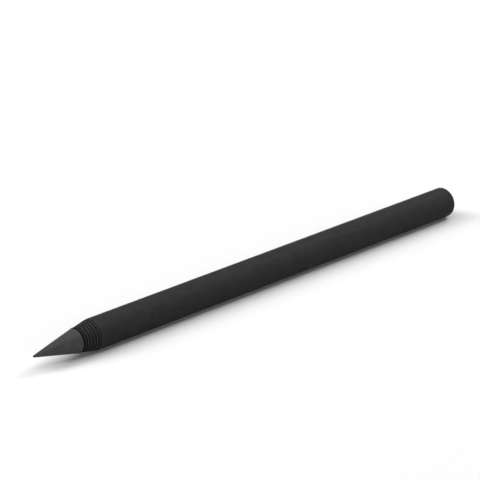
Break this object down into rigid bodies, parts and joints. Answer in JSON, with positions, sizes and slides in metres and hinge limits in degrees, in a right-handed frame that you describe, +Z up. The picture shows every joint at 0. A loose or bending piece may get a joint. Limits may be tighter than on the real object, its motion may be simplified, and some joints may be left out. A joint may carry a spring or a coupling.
{
  "type": "inkless metal pencil",
  "caption": "Slim round metal pencil with no lead: a graphite alloy cone does the writing and unscrews from the ringed, tapered nose of a matt black tube with a rounded end.",
  "frame": {"origin": "under the middle of the pencil's length, on the surface that it lies on", "axes": "+X along the pencil from the writing tip to the rear end, +Z up from the surface, so the axis of the pencil is the line y = 0, z = 4 mm"},
  "size_m": [0.145, 0.008, 0.008],
  "materials": {
    "graphite_alloy": "graphite-filled alloy, turned, matt grey",
    "stud_brass": "cut thread, bright",
    "washer_black": "matt black",
    "collar_black": "turned rings, black anodised",
    "barrel_black": "drawn tube, matt black anodised",
    "cap_black": "turned, matt black anodised"
  },
  "bodies": {
    "barrel": {"barrel_tube": "barrel_black", "grip_collar": "collar_black", "end_cap": "cap_black"},
    "seal": {"seam_washer": "washer_black"},
    "tip": {"writing_tip": "graphite_alloy", "tip_stud": "stud_brass"}
  },
  "joints": [
    {"name": "tip_slide", "type": "slide", "parent": "barrel", "child": "seal", "axis": [-1, 0, 0], "range_m": [0, 0.0049]},
    {"name": "tip_turn", "type": "hinge", "parent": "seal", "child": "tip", "pos_m": [-0.0595, 0, 0.004], "axis": [-1, 0, 0], "range_deg": [0, 2520]}
  ],
  "couplings": [
    {"joint": "tip_turn", "follows": "tip_slide", "rad_per_m": 8976}
  ]
}
